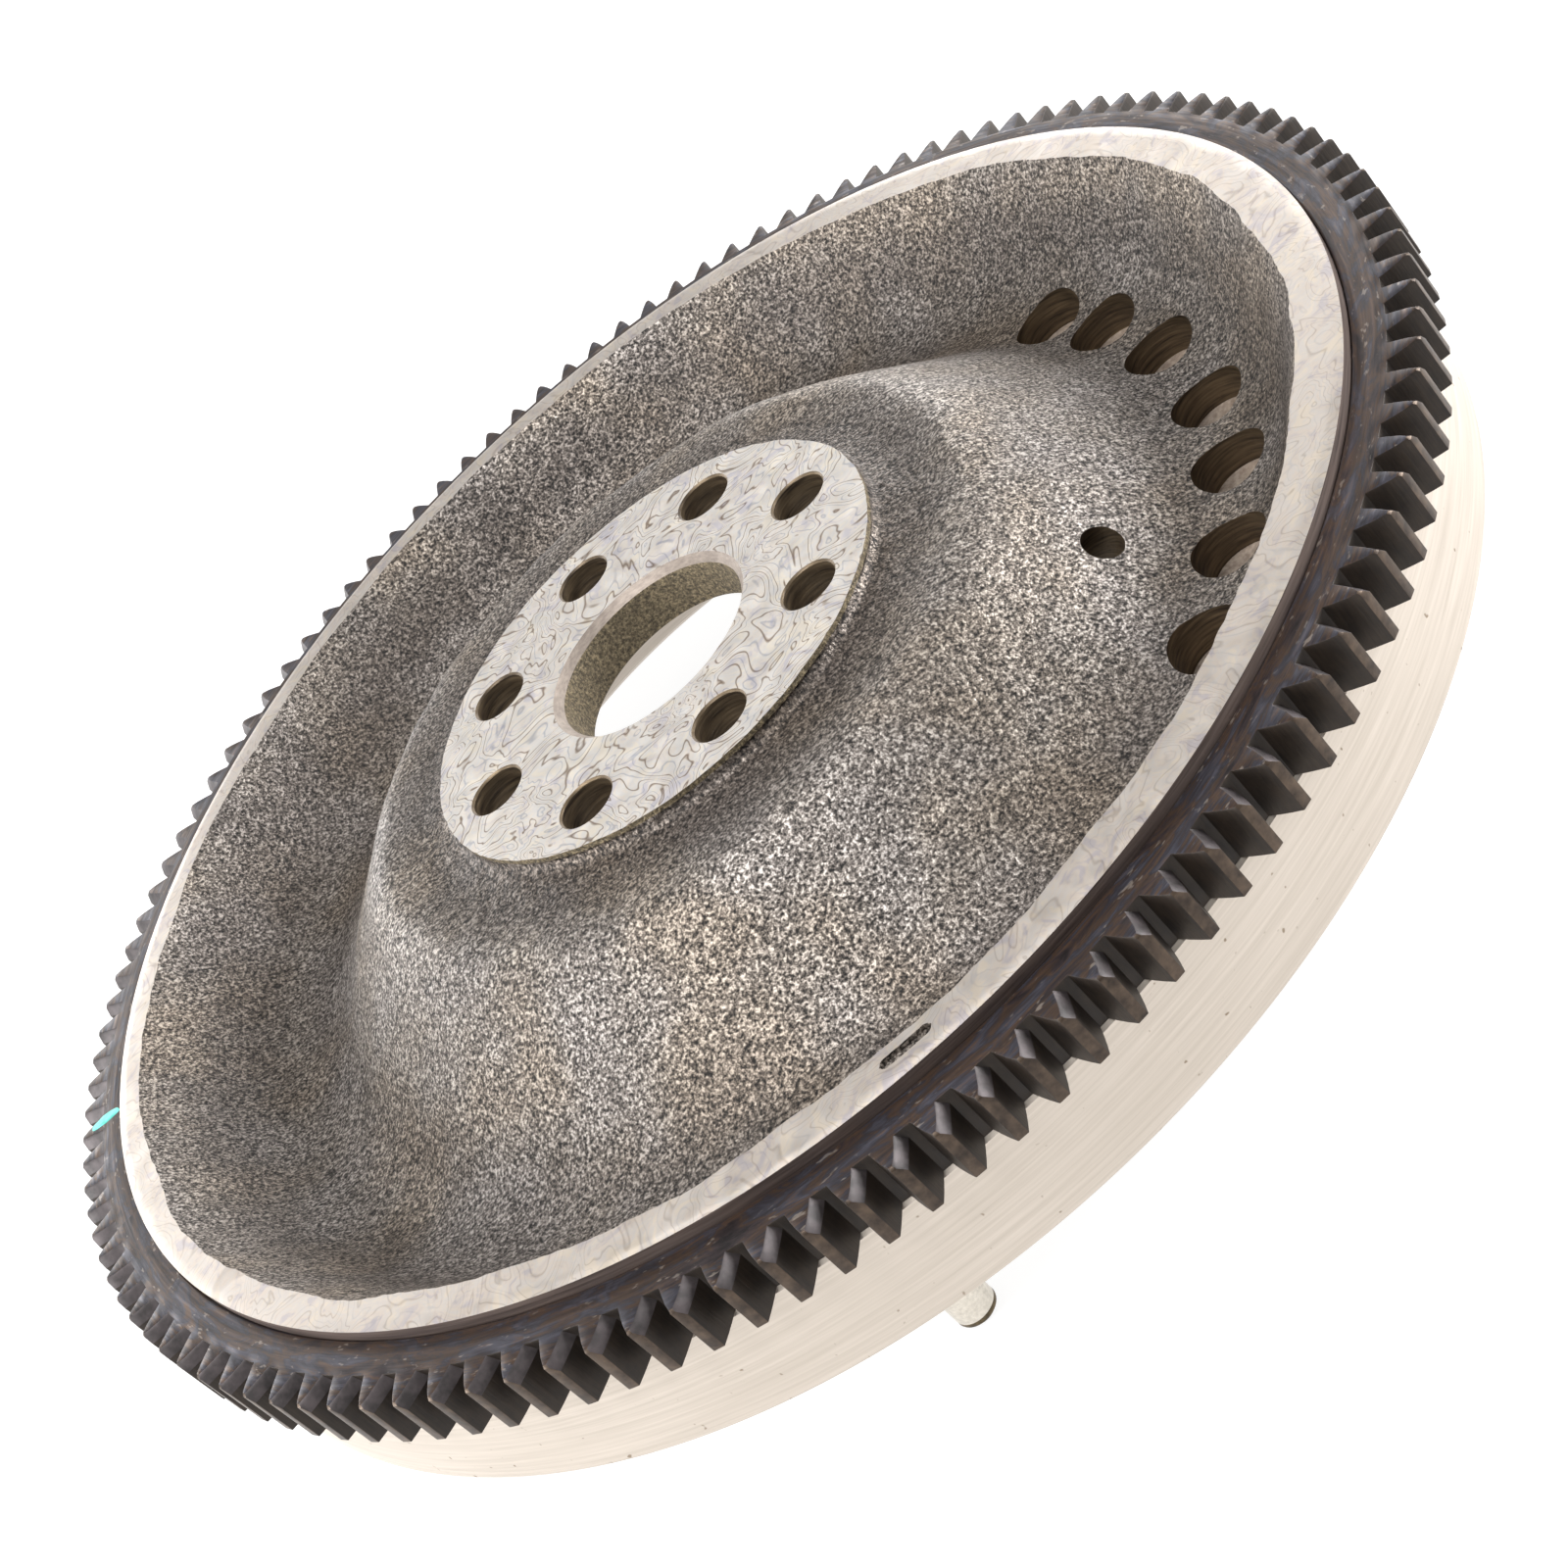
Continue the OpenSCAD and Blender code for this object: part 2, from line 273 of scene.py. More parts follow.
points = np.array(points)
points[wall_end:dish_end + 1] = rounded(points[wall_end:dish_end + 1], 6)
azimuths = np.arange(SEGMENTS) * 2 * math.pi / SEGMENTS
radius = np.repeat(points[:, :1], SEGMENTS, 1)
height = np.repeat(points[:, 1:], SEGMENTS, 1)


def around_noise(size_mm, at_r, seed):
    """Noise along the circle of radius at_r, one value for each azimuth."""
    return np.array([noise.noise(Vector((math.cos(a) * at_r / size_mm, math.sin(a) * at_r / size_mm,
                                         seed))) for a in azimuths])


# The mould's skin meets the turned faces in uneven lines, and the one at the rim is off centre.
seat_line = 0.25 * around_noise(6, 50.4, 1.5) + 0.15 * around_noise(1.8, 50.4, 2.5)
index = np.arange(len(points))
seat_fade = np.clip(1 - np.abs(index - seat_end) / 8, 0, 1) * np.where(index < seat_end, 0.4, 1)
radius += seat_fade[:, None] * seat_line
rim_line = (-1.35 * np.cos(azimuths) + 0.72 * np.sin(azimuths) + 1.1 * around_noise(22, 134, 3.5)
            + 0.5 * around_noise(7, 134, 4.5) + 0.25 * around_noise(2.2, 134, 5.5))
rim_fade = np.where(index <= dish_end, np.clip(1 - (dish_end - index) / 34, 0, 1) ** 1.5,
                    np.clip(1 - (index - dish_end) / (face_end - dish_end), 0, 1))
rim_fade[index > face_end] = 0
radius += rim_fade[:, None] * rim_line
bevel_line = 0.3 * around_noise(9, 140, 6.5) + 0.15 * around_noise(2, 140, 7.5)
radius[face_end] += bevel_line

# The cast surfaces swell and dip: slow waves from the pattern, a finer unevenness from the sand,
# a low ridge where the ring breaks into the cone, and a shallow trough beside the hub face.
slope = np.gradient(points, axis=0)
slope /= np.linalg.norm(slope, axis=1)[:, None]
ridge = 0.45 * np.exp(-((points[:, 0] - 67.5) / 3.5) ** 2)
trough = 0.55 * np.exp(-((points[:, 0] - 57) / 4.5) ** 2)
ring_z = (ridge - trough) * (index > wall_end) * (index < dish_end)
for k in range(len(points)):
    if finishes[k] not in (IRON, RAW_WALL):
        continue
    seen = wall_end <= k <= dish_end
    edge = min(abs(k - e) for e in ends)
    fade = min(1.0, edge / (3 if seen else 2))
    for j in range(SEGMENTS):
        c, s = math.cos(azimuths[j]), math.sin(azimuths[j])
        place = Vector((radius[k, j] * c, radius[k, j] * s, height[k, j]))
        lift = 0.12 * noise.noise(place / 3.5) + 0.09 * noise.noise(place / 1.5)
        if seen:
            lift += 0.5 * noise.noise(place / 24) + 0.22 * noise.noise(place / 9)
            lift += ring_z[k] * (1 + 0.8 * noise.noise(place / 16))
        else:
            lift = min(lift, 0.0) * 0.6
        radius[k, j] -= slope[k, 1] * lift * fade
        height[k, j] += slope[k, 0] * lift * fade


def mesh_object(name, vertices, faces, face_finishes=None):
    """A mesh object of corners in mm and their faces."""
    mesh = bpy.data.meshes.new(name)
    mesh.from_pydata((np.asarray(vertices) * MM).tolist(), [], faces)
    if face_finishes is not None:
        mesh.polygons.foreach_set("material_index", np.asarray(face_finishes, np.int32))
    made = bpy.data.objects.new(name, mesh)
    scene.collection.objects.link(made)
    return made


def revolved(name, line, segments, finish=0):
    """A solid of revolution on Z from (radius, height) points, which start and end on the axis."""
    angles = np.arange(segments) * 2 * math.pi / segments
    inner = line[1:-1]
    corners = [(0, 0, line[0][1])] + [(r * math.cos(a), r * math.sin(a), z) for r, z in inner
                                      for a in angles] + [(0, 0, line[-1][1])]
    ring = lambda k, j: 1 + k * segments + j % segments
    faces = [(0, ring(0, j), ring(0, j + 1)) for j in range(segments)]
    for k in range(len(inner) - 1):
        faces += [(ring(k, j), ring(k + 1, j), ring(k + 1, j + 1), ring(k, j + 1))
                  for j in range(segments)]
    end = len(corners) - 1
    faces += [(ring(len(inner) - 1, j + 1), ring(len(inner) - 1, j), end) for j in range(segments)]
    finishes = finish if isinstance(finish, list) else [finish] * (len(line) - 1)
    return mesh_object(name, corners, faces, np.repeat(finishes, segments))


grid = np.stack([radius * np.cos(azimuths), radius * np.sin(azimuths), height], -1)
rows, columns = len(points), SEGMENTS
corner = lambda k, j: (k % rows) * columns + j % columns
casting = mesh_object(
    "casting", grid.reshape(-1, 3),
    [(corner(k, j), corner(k + 1, j), corner(k + 1, j + 1), corner(k, j + 1))
     for k in range(rows) for j in range(columns)], np.repeat(finishes, columns))

# Tools that cut the casting: each is a solid whose skin leaves its own finish behind. Azimuths
# and tilts are in degrees, radii and heights in mm.
CRANK_AZIMUTH, COVER_AZIMUTH, PIN_AZIMUTH = 0.2, 45.5, 15.5
CRANK_DEPTH, COVER_DEPTH, PIN_DEPTH, PIN_HOLE_R = 14, 18, 11, 4
HOLE_CHAMFER = 0.4
BALANCE_AZIMUTHS = (18.3, 8.7, -3, -16.3, -28, -40.2, -51.8)
BALANCE_AT_R, BALANCE_R, BALANCE_WALL_Z, BALANCE_TIP_Z = 108.3, 7.46, -35.7, -36.8
DRAIN_AZIMUTH, DRAIN_AT_R, DRAIN_AT_Z, DRAIN_R, CONE_TILT = -39.5, 88.6, -18.7, 3.95, 39.7
tools = []


def place_tool(tool, azimuth, at_r, at_z, tilt=0.0):
    """Sets a tool at an azimuth and radius, tilted outwards, and keeps it for the cut."""
    turn = Matrix.Rotation(math.radians(azimuth), 4, "Z")
    tool.data.transform(turn @ Matrix.Translation((at_r * MM, 0, at_z * MM))
                        @ Matrix.Rotation(math.radians(tilt), 4, "Y"))
    tools.append(tool)


crank = mounts["crank_bolts"]["dims"]
hole_r = crank["hole_r_mm"]
for i in range(crank["count"]):
    place_tool(revolved("crank_hole", [(0, -CRANK_DEPTH), (hole_r, -CRANK_DEPTH),
                                       (hole_r, -HOLE_CHAMFER), (hole_r + 1 + HOLE_CHAMFER, 1),
                                       (0, 1)], 72, DRILLED),
               CRANK_AZIMUTH + i * 360 / crank["count"], crank["pcd_mm"] / 2, 0)
cover = mounts["cover_bolts"]["dims"]
tap_r = cover["hole_r_mm"]
for i in range(cover["count"]):
    place_tool(revolved("cover_hole", [(0, -1), (tap_r + 1 + HOLE_CHAMFER, -1),
                                       (tap_r, HOLE_CHAMFER), (tap_r, COVER_DEPTH),
                                       (0, COVER_DEPTH)], 48, DRILLED),
               COVER_AZIMUTH + i * 360 / cover["count"], cover["pcd_mm"] / 2, clutch_z)
for azimuth in BALANCE_AZIMUTHS:
    place_tool(revolved("balance_hole", [(0, BALANCE_TIP_Z), (BALANCE_R, BALANCE_WALL_Z),
                                         (BALANCE_R, 0), (0, 0)], 96,
                        [DRILL_FLOOR, DRILLED, DRILLED]), azimuth, BALANCE_AT_R, 0)
place_tool(revolved("drain_hole", [(0, -22), (DRAIN_R, -22), (DRAIN_R, 8), (0, 8)], 64, DRILLED),
           DRAIN_AZIMUTH, DRAIN_AT_R, DRAIN_AT_Z, CONE_TILT)
for i in range(3):
    place_tool(revolved("pin_hole", [(0, -1), (PIN_HOLE_R, -1), (PIN_HOLE_R, PIN_DEPTH),
                                     (0, PIN_DEPTH)], 48, DRILLED),
               PIN_AZIMUTH + i * 120, cover["pcd_mm"] / 2, clutch_z)

# A shallow slot with round ends, sunk into the rim face by hand.
SLOT_AZIMUTH, SLOT_R, SLOT_FLOOR_Z = -96, 136.6, -8.8
slot_low, slot_top, ring_count = [], [], 26
for i in range(2 * ring_count):
    t = i % ring_count / (ring_count - 1)
    side = 1 if i < ring_count else -1
    azimuth = math.radians(SLOT_AZIMUTH + side * (t - 0.5) * 4.3)
    r = SLOT_R + side * 1.15 * min(1, 3.2 * math.sqrt(max(0.0, t * (1 - t)))) + 0.1 * noise.noise(
        Vector((i * 0.6, 0, 9)))
    slot_low.append((r * math.cos(azimuth), r * math.sin(azimuth), SLOT_FLOOR_Z))
    slot_top.append((r * math.cos(azimuth), r * math.sin(azimuth), -6))
total = 2 * ring_count
tools.append(mesh_object(
    "rim_slot", slot_low + slot_top,
    [tuple(range(total)), tuple(range(2 * total - 1, total - 1, -1))]
    + [((i + 1) % total, i, total + i, total + (i + 1) % total) for i in range(total)],
    [IRON] * (total + 2)))

shape = bmesh.new()
for tool in tools:
    shape.from_mesh(tool.data)
    bpy.data.objects.remove(tool)
bmesh.ops.recalc_face_normals(shape, faces=shape.faces[:])
cutter = mesh_object("cutter", [], [])
shape.to_mesh(cutter.data)
shape.free()
cut = casting.modifiers.new("holes", "BOOLEAN")
cut.object, cut.solver = cutter, "MANIFOLD"
drilled = casting.evaluated_get(bpy.context.evaluated_depsgraph_get())
casting.data = bpy.data.meshes.new_from_object(drilled)
casting.modifiers.clear()
bpy.data.objects.remove(cutter)


def smooth_but_edges(piece, angle):
    """Shades a piece smooth, with a hard line at sharp angles and where the finish changes."""
    piece.data.shade_smooth()
    piece.data.set_sharp_from_angle(angle=math.radians(angle))
    shape = bmesh.new()
    shape.from_mesh(piece.data)
    for edge in shape.edges:
        if len({face.material_index for face in edge.link_faces}) > 1:
            edge.smooth = False
    shape.to_mesh(piece.data)
    shape.free()


smooth_but_edges(casting, 35)


def dress(piece, *materials):
    """Gives a piece its materials, in the order of its finishes."""
    finishes = np.zeros(len(piece.data.polygons), np.int32)
    piece.data.polygons.foreach_get("material_index", finishes)
    piece.data.materials.clear()
    for material in materials:
        piece.data.materials.append(material)
    piece.data.polygons.foreach_set("material_index", finishes)


def polar(tree, place):
    """Radius, angle times 100 mm, and height, so that noise can run along the circles."""
    split = add(tree, "ShaderNodeSeparateXYZ", {0: place}).outputs
    flat = add(tree, "ShaderNodeCombineXYZ", {0: split[0], 1: split[1]}).outputs[0]
    length = add(tree, "ShaderNodeVectorMath", {0: flat}, operation="LENGTH").outputs["Value"]
    turn = math_node(tree, "MULTIPLY", math_node(tree, "ARCTAN2", split[1], split[0]), 0.1)
    return length, turn, split[2]


def stretched(tree, place, radial, around, upright):
    """Coordinates for marks that are drawn out along the circles by these shares."""
    length, turn, z = polar(tree, place)
    return add(tree, "ShaderNodeCombineXYZ", {
        0: math_node(tree, "MULTIPLY", length, radial),
        1: math_node(tree, "MULTIPLY", turn, around),
        2: math_node(tree, "MULTIPLY", z, upright)}).outputs[0]


# Shot-blasted grey iron: bright grains among dark pits about a millimetre wide, finer on the
# real skin and drawn as coarse as they need to show, with brown oxide in broad patches.
cast_iron, tree, shader, place = new_material("cast_iron_skin", Metallic=0.5)
coarse = grain(tree, place, 1.2, 3, 0.65)
fine = grain(tree, place, 0.6, 2, 0.6)
patches = grain(tree, place, 26, 2, 0.5)
salt = math_node(tree, "ADD", math_node(tree, "MULTIPLY", coarse, 0.45),
                 math_node(tree, "MULTIPLY", fine, 0.55))
speckle = ramp(tree, salt, (0.36, "211f1e"), (0.46, "726d69"), (0.54, "a8a29d"), (0.64, "f6f3ef"))
brown = ramp(tree, patches, (0.35, "c5c1bf"), (0.5, "c0bab4"), (0.65, "c2b8ac"))
skin = mix(tree, 1.0, speckle, brown, "MULTIPLY")
# Painted shade: the skin is darkened by radius beside the hub face, a little in the valley and most
# on the wall under the rim, where shade falls.
length, turn, z = polar(tree, place)
painted_shade_radius = math_node(tree, "MULTIPLY_ADD", patches, 0.02, math_node(tree, "SUBTRACT", length, 0.01))
painted_shade_and_mill_scale = ramp(tree, math_node(tree, "MULTIPLY", painted_shade_radius, 1 / 0.15), (0.34, "b8b2ae"),
             (0.385, "c9c5c2"), (0.46, "ffffff"), (0.62, "ffffff"), (0.68, "dddad8"),
             (0.745, "e6e4e2"), (0.81, "b4afab"), (0.85, "c6c2bf"), (0.89, "f0efee"))
# The painted shade multiplies the skin colour here.
tree.links.new(mix(tree, 1.0, skin, painted_shade_and_mill_scale, "MULTIPLY"), shader.inputs["Base Color"])
tree.links.new(ramp(tree, salt, (0.4, 0.6), (0.6, 0.36)), shader.inputs["Roughness"])
raise_by(tree, shader, salt, 0.3)

# Turned faces: fine circular tool marks under wavy, faintly coloured tide lines of old oil.
turned, tree, shader, place = new_material("turned_iron", Metallic=0.75)
rings = grain(tree, stretched(tree, place, 1.0, 0.04, 1.0), 0.5, 2, 0.6)
wander = grain(tree, place, 17, 2.5, 0.5, 0.8)
tide = math_node(tree, "PINGPONG", math_node(tree, "MULTIPLY", wander, 26.0), 1.0)
lines = ramp(tree, tide, (0.0, "93857b"), (0.08, "cdc5be"), (0.17, "ffffff"), (0.86, "ffffff"),
             (1.0, "cfd4e0"))
tint = ramp(tree, grain(tree, place, 6, 3, 0.6, 1.2), (0.36, "cdc8cb"), (0.46, "e2d9ce"),
            (0.54, "ddd9d5"), (0.64, "e8dfd1"))
length, turn, z = polar(tree, place)
near_hub = ramp(tree, math_node(tree, "MULTIPLY", length, 1 / 0.15), (0.4, 1.0), (0.6, 0.35))
tone = ramp(tree, math_node(tree, "MULTIPLY", length, 1 / 0.15), (0.4, "ffffff"), (0.6, "dcd8d5"))
lined = mix(tree, near_hub, tint, lines, "MULTIPLY")
tree.links.new(mix(tree, 1.0, lined, tone, "MULTIPLY"), shader.inputs["Base Color"])
tree.links.new(ramp(tree, grain(tree, place, 5, 3), (0.3, 0.34), (0.7, 0.5)),
               shader.inputs["Roughness"])
raise_by(tree, shader, rings, 0.015)

# Raw walls of the bore and of the hub face's edge: rough, with golden-brown mill scale.
raw_wall, tree, shader, place = new_material("raw_wall", Metallic=0.3, Roughness=0.55)
painted_shade_and_mill_scale = grain(tree, place, 0.6, 3, 0.7)
tree.links.new(ramp(tree, painted_shade_and_mill_scale, (0.34, "3a3327"), (0.5, "685d49"), (0.66, "9a8b6e")),
               shader.inputs["Base Color"])
raise_by(tree, shader, painted_shade_and_mill_scale, 0.35)

# Outer cylinder and recess wall: bright turned iron with fine marks along the circles.
cylinder, tree, shader, place = new_material("turned_cylinder", Metallic=0.75)
marks = grain(tree, stretched(tree, place, 1.0, 0.03, 1.0), 0.7, 3, 0.6)
specks = grain(tree, place, 1.6, 1, 0.5)
bright = ramp(tree, marks, (0.3, "c2b8ac"), (0.7, "d4cabf"))
spots = ramp(tree, specks, (0.74, "ffffff"), (0.8, "b8ada0"))
tree.links.new(mix(tree, 1.0, bright, spots, "MULTIPLY"), shader.inputs["Base Color"])
tree.links.new(ramp(tree, marks, (0.3, 0.42), (0.7, 0.5)), shader.inputs["Roughness"])
raise_by(tree, shader, marks, 0.03)

# Seat of the ring gear: turned earlier, browned when the hot ring was shrunk on.
rim_side, tree, shader, place = new_material("browned_seat", Metallic=0.6, Roughness=0.5)
marks = grain(tree, stretched(tree, place, 1.0, 0.05, 1.0), 0.8, 3, 0.6)
tree.links.new(ramp(tree, marks, (0.3, "4a3f3c"), (0.7, "7b6d66")), shader.inputs["Base Color"])
raise_by(tree, shader, marks, 0.05)

# Friction and cover faces on the clutch side: ground, with fine arcs along the circles.
ground, tree, shader, place = new_material("ground_iron", Metallic=0.8)
marks = grain(tree, stretched(tree, place, 1.0, 0.05, 1.0), 0.6, 2, 0.6)
cloud = grain(tree, place, 18, 3, 0.5)
arcs = ramp(tree, marks, (0.3, "a7a29c"), (0.7, "c9c5be"))
clouded = ramp(tree, cloud, (0.3, "b0aaa3"), (0.7, "c7c2ba"))
tree.links.new(mix(tree, 0.5, arcs, clouded), shader.inputs["Base Color"])
tree.links.new(ramp(tree, marks, (0.3, 0.26), (0.7, 0.4)), shader.inputs["Roughness"])
raise_by(tree, shader, marks, 0.03)

# Drilled walls: dark and oily, with tool marks round them. Drilled floors are lighter.
drilled, tree, shader, place = new_material("drilled_wall", Metallic=0.6, Roughness=0.42)
split = add(tree, "ShaderNodeSeparateXYZ", {0: place}).outputs
flattened = add(tree, "ShaderNodeCombineXYZ", {
    0: math_node(tree, "MULTIPLY", split[0], 0.08), 1: math_node(tree, "MULTIPLY", split[1], 0.08),
    2: split[2]}).outputs[0]
marks = grain(tree, flattened, 0.7, 3, 0.6)
tree.links.new(ramp(tree, marks, (0.3, "352b22"), (0.7, "75654f")), shader.inputs["Base Color"])
raise_by(tree, shader, marks, 0.12)
drill_floor, tree, shader, place = new_material("drilled_floor", Metallic=0.6, Roughness=0.4)
marks = grain(tree, place, 1.2, 3, 0.6)
tree.links.new(ramp(tree, marks, (0.3, "8f7f74"), (0.7, "c4b5a6")), shader.inputs["Base Color"])
raise_by(tree, shader, marks, 0.08)

# Chamfer at the bore's mouth: turned, and greyer than the face round it.
bore_edge, tree, shader, place = new_material("bore_chamfer", Metallic=0.5, Roughness=0.5)
marks = grain(tree, stretched(tree, place, 1.0, 0.08, 1.0), 0.6, 3, 0.6)
tree.links.new(ramp(tree, marks, (0.3, "7b7068"), (0.7, "988d83")), shader.inputs["Base Color"])
raise_by(tree, shader, marks, 0.04)

dress(casting, cast_iron, turned, raw_wall, cylinder, rim_side, ground, drilled, drill_floor,
      bore_edge)
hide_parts("flywheel_body")
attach(casting, "root")


# ---- Ring gear ---------------------------------------------------------------------------
# A hobbed steel ring, hardened on its teeth and shrunk hot onto the rim. One flank of each
# tooth is bevelled at the front, where the starter pinion slides in.

gear_low, gear_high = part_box("ring_gear")
gear_back, gear_front = gear_low.z / MM, gear_high.z / MM
cad_gear = frame["nodes"]["ring_gear"].data.vertices
corners = {(round(v.co.x / MM, 3), round(v.co.y / MM, 3)) for v in cad_gear
           if abs(v.co.z - gear_low.z) < 1e-6 and v.co.xy.length / MM > body_r - 2}
teeth = sorted((math.atan2(y, x), math.hypot(x, y)) for x, y in corners)
root_r = min(r for a, r in teeth)
first = next(i for i in range(len(teeth)) if max(teeth[i][1], teeth[i - 1][1]) < root_r + 0.1)
teeth = np.array(teeth[first:] + teeth[:first])
teeth = teeth.reshape(-1, 8, 2)
seat_gear_r = min(math.hypot(v.co.x / MM, v.co.y / MM) for v in cad_gear)
BAND, FRONT_CHAMFER, BACK_CHAMFER = 1.8, 0.5, 0.2
FACE, FLANK, TIP, LEAD_IN = range(4)
# Height of each level, how far the bevel has moved the flank there, and how much of the tip
# the front chamfer takes, in mm.
LEVELS = ((gear_front, 1.45, 0.5), (gear_front - 0.5, 1.09, 0), (gear_front - 2, 0, 0),
          (gear_back, 0, 0))
vertices, faces, finishes = [], [], []
for z, moved, cut in LEVELS:
    for t, tooth in enumerate(teeth):
        wear = 0.12 * noise.noise(Vector((t * 0.73, 0, 3)))
        for i, (azimuth, r) in enumerate(tooth):
            if i > 3 and moved:
                azimuth -= (moved + wear) / r
            if i in (3, 4):
                r -= cut
            vertices.append((r * math.cos(azimuth), r * math.sin(azimuth), z))
number = len(teeth) * 8
for level in range(len(LEVELS) - 1):
    for k in range(number):
        a, b = level * number + k, level * number + (k + 1) % number
        faces.append((a, a + number, b + number, b))
        finishes.append(TIP if k % 8 == 3 else
                        LEAD_IN if level < 2 and 4 <= k % 8 <= 6 else FLANK)


def cap(level, up):
    """Flat face over the teeth and down to the bore at one end of the ring."""
    start, z = level * number, LEVELS[level][0]
    order = (lambda f: f) if up else (lambda f: f[::-1])
    base = len(vertices)
    circles = ((root_r - BAND, z), (seat_gear_r + (FRONT_CHAMFER if up else BACK_CHAMFER), z))
    for r, at in circles:
        for tooth in range(len(teeth)):
            for i in (0, 7):
                x, y, _ = vertices[start + tooth * 8 + i]
                share = r / math.hypot(x, y)
                vertices.append((x * share, y * share, at))
    pairs = 2 * len(teeth)
    for tooth in range(len(teeth)):
        first = start + tooth * 8
        for i in range(3):
            faces.append(order((first + i, first + i + 1, first + 6 - i, first + 7 - i)))
            finishes.append(FACE)
    roots = [start + tooth * 8 + i for tooth in range(len(teeth)) for i in (0, 7)]
    for k in range(pairs):
        n = (k + 1) % pairs
        faces.append(order((base + k, roots[k], roots[n], base + n)))
        faces.append(order((base + pairs + k, base + k, base + n, base + pairs + n)))
        finishes.extend((FACE, FACE))
    return base + pairs, pairs


top, pairs = cap(0, True)
bottom, _ = cap(len(LEVELS) - 1, False)
for r, at in ((seat_gear_r, gear_front - FRONT_CHAMFER), (seat_gear_r, gear_back + BACK_CHAMFER)):
    for k in range(pairs):
        x, y, _ = vertices[top + k]
        share = r / math.hypot(x, y)
        vertices.append((x * share, y * share, at))
wall = len(vertices) - 2 * pairs
for k in range(pairs):
    n = (k + 1) % pairs
    for low, high in ((wall, top), (wall + pairs, wall), (bottom, wall + pairs)):
        faces.append((high + k, high + n, low + n, low + k))
        finishes.append(FACE)
gear = mesh_object("starter_ring_gear", vertices, faces, finishes)
shape = bmesh.new()
shape.from_mesh(gear.data)
bmesh.ops.recalc_face_normals(shape, faces=shape.faces[:])
shape.to_mesh(gear.data)
shape.free()
bevel = gear.modifiers.new("broken_edges", "BEVEL")
bevel.width, bevel.segments = 0.16 * MM, 2
bevel.limit_method, bevel.angle_limit = "ANGLE", math.radians(25)
rounded_gear = gear.evaluated_get(bpy.context.evaluated_depsgraph_get())
gear.data = bpy.data.meshes.new_from_object(rounded_gear)
gear.modifiers.clear()
smooth_but_edges(gear, 30)

# Front face: purple-brown oxide from the hardening heat, streaked with blue and rust.
gear_face, tree, shader, place = new_material("gear_face", Metallic=0.6)
marks = grain(tree, stretched(tree, place, 1.0, 0.06, 1.0), 0.9, 3, 0.6)
streaks = grain(tree, stretched(tree, place, 1.0, 0.35, 1.0), 3.2, 4, 0.65, 0.6)
oxide = ramp(tree, streaks, (0.3, "2a2526"), (0.4, "43393a"), (0.47, "5a4638"), (0.53, "413d43"),
             (0.6, "52515b"), (0.7, "6b5444"))
shine = ramp(tree, marks, (0.3, "a8a8a8"), (0.55, "d8d8d8"), (0.7, "ffffff"))
glint = ramp(tree, grain(tree, stretched(tree, place, 1.0, 0.5, 1.0), 1.1, 2, 0.6),
             (0.64, 0.0), (0.72, 0.4))
worn = mix(tree, 1.0, oxide, shine, "MULTIPLY")
tree.links.new(mix(tree, glint, worn, "a89d92"), shader.inputs["Base Color"])
tree.links.new(ramp(tree, marks, (0.3, 0.5), (0.7, 0.33)), shader.inputs["Roughness"])
raise_by(tree, shader, marks, 0.06)

# Hobbed flanks: brown steel with marks across the ring, coloured near black as painted shade of the
# tooth gaps, so that the tips are lighter.
flank, tree, shader, place = new_material("hobbed_flank_painted_shade", Metallic=0.3, Roughness=0.55)
across = grain(tree, stretched(tree, place, 1.0, 1.0, 0.1), 0.6, 2, 0.6)
cloud = grain(tree, place, 4, 3, 0.6)
hobbed = ramp(tree, across, (0.3, "1b1512"), (0.7, "33291f"))
clouded = ramp(tree, cloud, (0.3, "1c1613"), (0.7, "382d24"))
# Painted shade: both ramps keep the flank colour near black.
tree.links.new(mix(tree, 0.5, hobbed, clouded), shader.inputs["Base Color"])
raise_by(tree, shader, across, 0.06)
tip, tree, shader, place = new_material("tooth_tip", Metallic=0.6, Roughness=0.4)
cloud = grain(tree, place, 2.5, 3, 0.6)
tree.links.new(ramp(tree, cloud, (0.3, "2c231d"), (0.7, "5a4b3e")), shader.inputs["Base Color"])
raise_by(tree, shader, cloud, 0.05)
lead_in, tree, shader, place = new_material("lead_in_bevel", Metallic=0.4, Roughness=0.5)
cloud = grain(tree, place, 3, 3, 0.6)
tree.links.new(ramp(tree, cloud, (0.35, "332f2f"), (0.65, "50494a")), shader.inputs["Base Color"])
raise_by(tree, shader, cloud, 0.05)
dress(gear, gear_face, flank, tip, lead_in)
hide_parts("ring_gear")
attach(gear, "root")

# A dab of turquoise paint, brushed on the ring's front face as an inspection mark.
DAB_AZIMUTH, DAB_AT_R = 165.6, 147.1
blob = [(0, 0, 0.05)]
for level, (share, thick) in enumerate(((0.75, 0.06), (1.0, 0.002))):
    for i in range(36):
        a = i * math.pi / 18
        edge = share * (1 + 0.22 * noise.noise(Vector((math.cos(a), math.sin(a), 4.2)) * 1.6))
        blob.append((3.7 * math.cos(a) * edge, 1.5 * math.sin(a) * edge, thick))
dab = mesh_object("paint_dab", blob,
                  [(0, 1 + i, 1 + (i + 1) % 36) for i in range(36)]
                  + [(1 + i, 37 + i, 37 + (i + 1) % 36, 1 + (i + 1) % 36) for i in range(36)])
dab.data.transform(Matrix.Rotation(math.radians(DAB_AZIMUTH), 4, "Z")
                   @ Matrix.Translation((DAB_AT_R * MM, 0, (gear_front + 0.01) * MM)))
dab.data.shade_smooth()
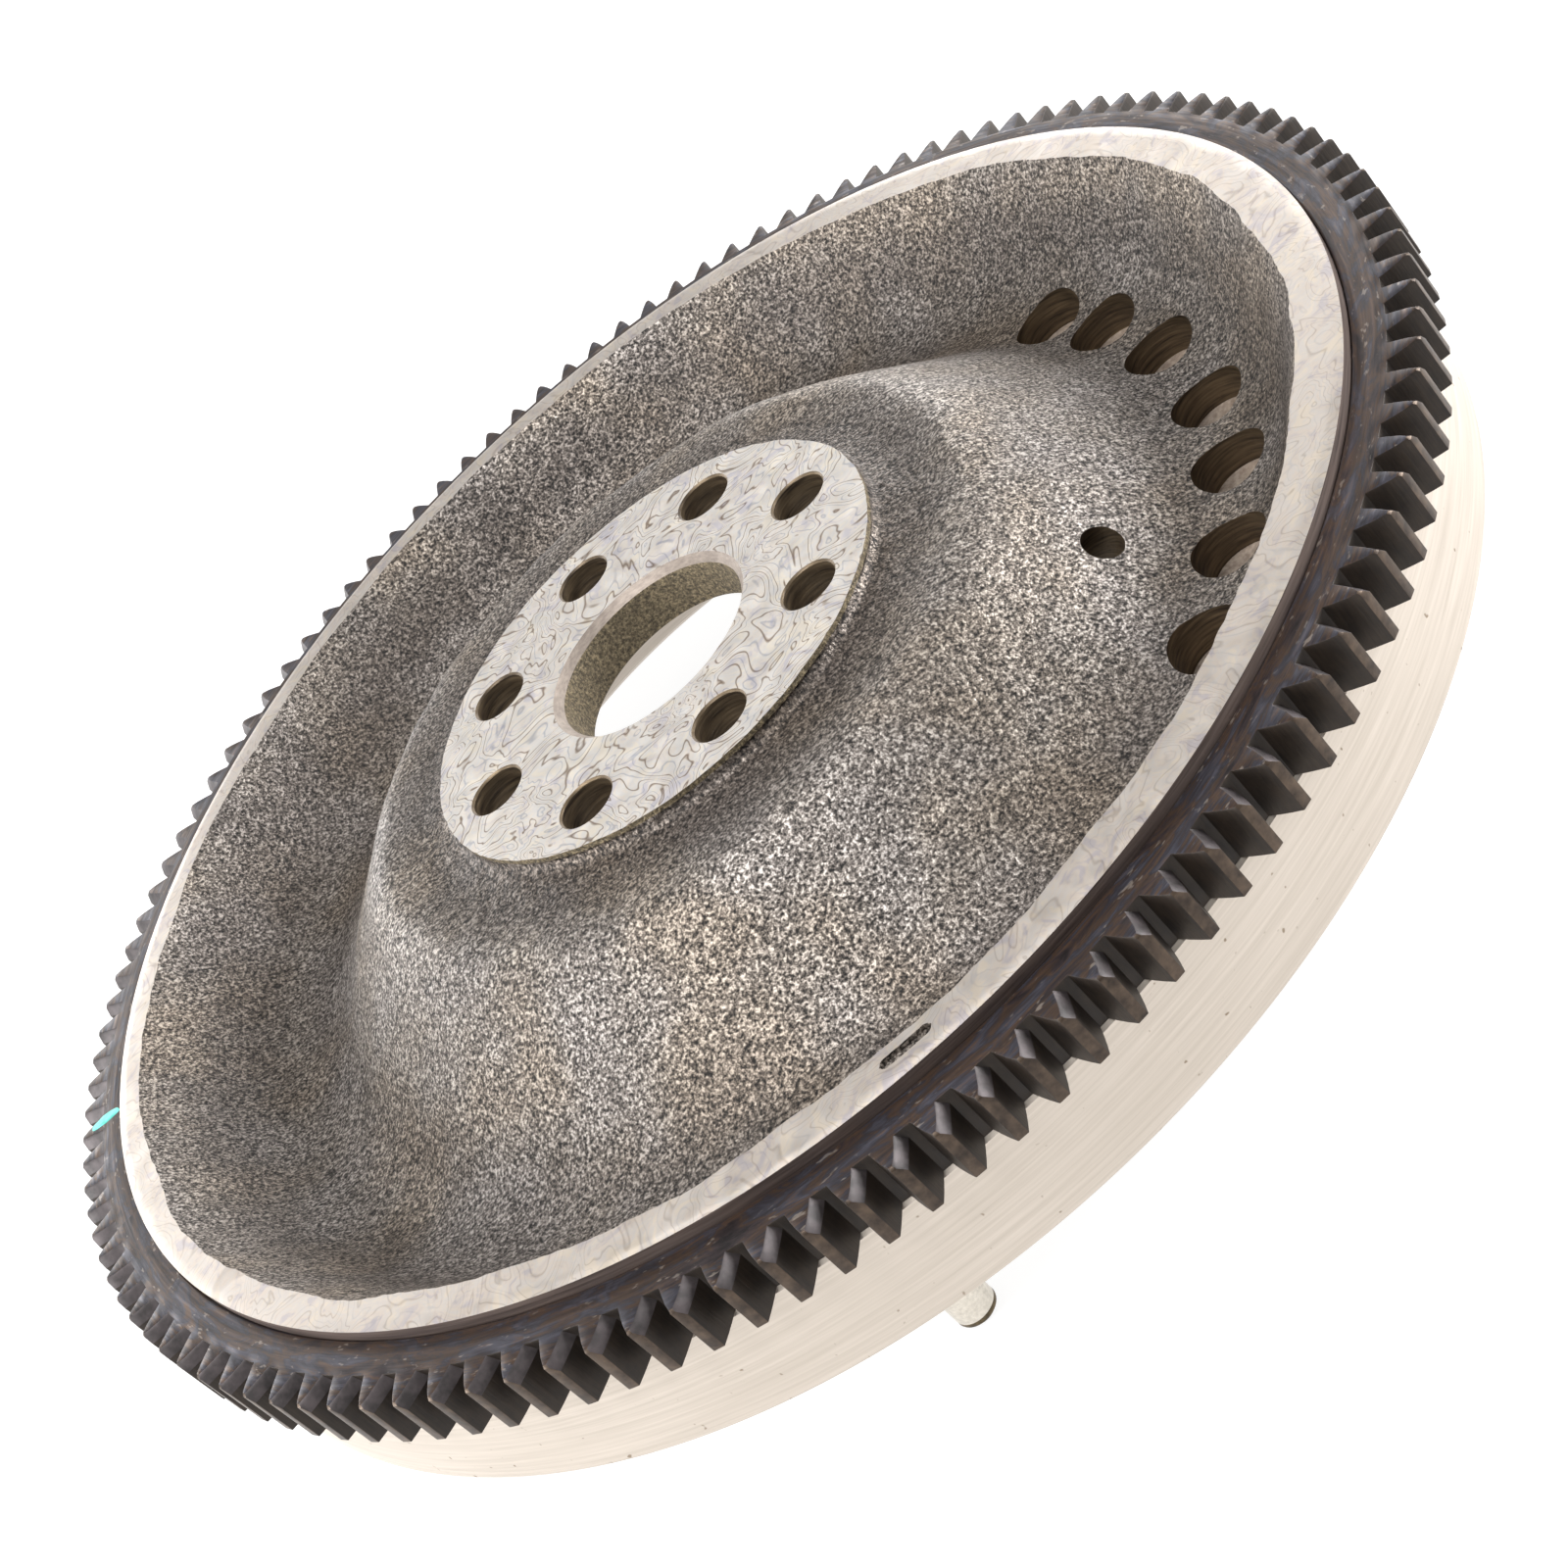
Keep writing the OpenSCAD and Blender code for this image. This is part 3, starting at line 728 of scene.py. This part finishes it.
paint, tree, shader, place = new_material("turquoise_paint", Roughness=0.38)
cloud = grain(tree, place, 1.8, 2, 0.5)
tree.links.new(ramp(tree, cloud, (0.35, "3fb3a4"), (0.6, "67d9cc")), shader.inputs["Base Color"])
raise_by(tree, shader, cloud, 0.05)
dress(dab, paint)
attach(dab, "root")


# ---- Dowel pins --------------------------------------------------------------------------
# Three ground steel pins, pressed into the clutch face up to their step. They locate the
# clutch cover, and the wheel stands on them here.

pin_ground, tree, shader, place = new_material("ground_pin", Metallic=0.85, Roughness=0.3)
marks = grain(tree, place, 0.8, 3, 0.6)
tree.links.new(ramp(tree, marks, (0.3, "c9c2b6"), (0.7, "e4ddd1")), shader.inputs["Base Color"])
raise_by(tree, shader, marks, 0.03)
pin_end, tree, shader, place = new_material("browned_pin_end", Metallic=0.6, Roughness=0.45)
marks = grain(tree, place, 1.0, 3, 0.6)
tree.links.new(ramp(tree, marks, (0.3, "3c3222"), (0.7, "6f5f42")), shader.inputs["Base Color"])
raise_by(tree, shader, marks, 0.05)
free_r = mounts["cover_dowels"]["dims"]["stud_r_mm"]
for node in ("dowel_pin_1", "dowel_pin_2", "dowel_pin_3"):
    low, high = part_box(node)
    bottom_z, top_z, press_r = low.z / MM, high.z / MM, (high.x - low.x) / 2 / MM
    line = [(0, bottom_z), (free_r - 1.3, bottom_z), (free_r - 1.0, bottom_z + 0.08),
            (free_r - 0.12, bottom_z + 0.92), (free_r, bottom_z + 1.25), (free_r, bottom_z + 1.9),
            (free_r, clutch_z - 0.05), (press_r, clutch_z), (press_r, top_z - 1),
            (press_r - 1, top_z), (0, top_z)]
    pin = revolved(node.replace("dowel_pin", "ground_dowel"), line, 72, [1] * 5 + [0] * 5)
    middle = (low + high) / 2
    pin.data.transform(Matrix.Translation((middle.x, middle.y, 0)))
    smooth_but_edges(pin, 35)
    dress(pin, pin_ground, pin_end)
    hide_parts(node)
    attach(pin, "root")
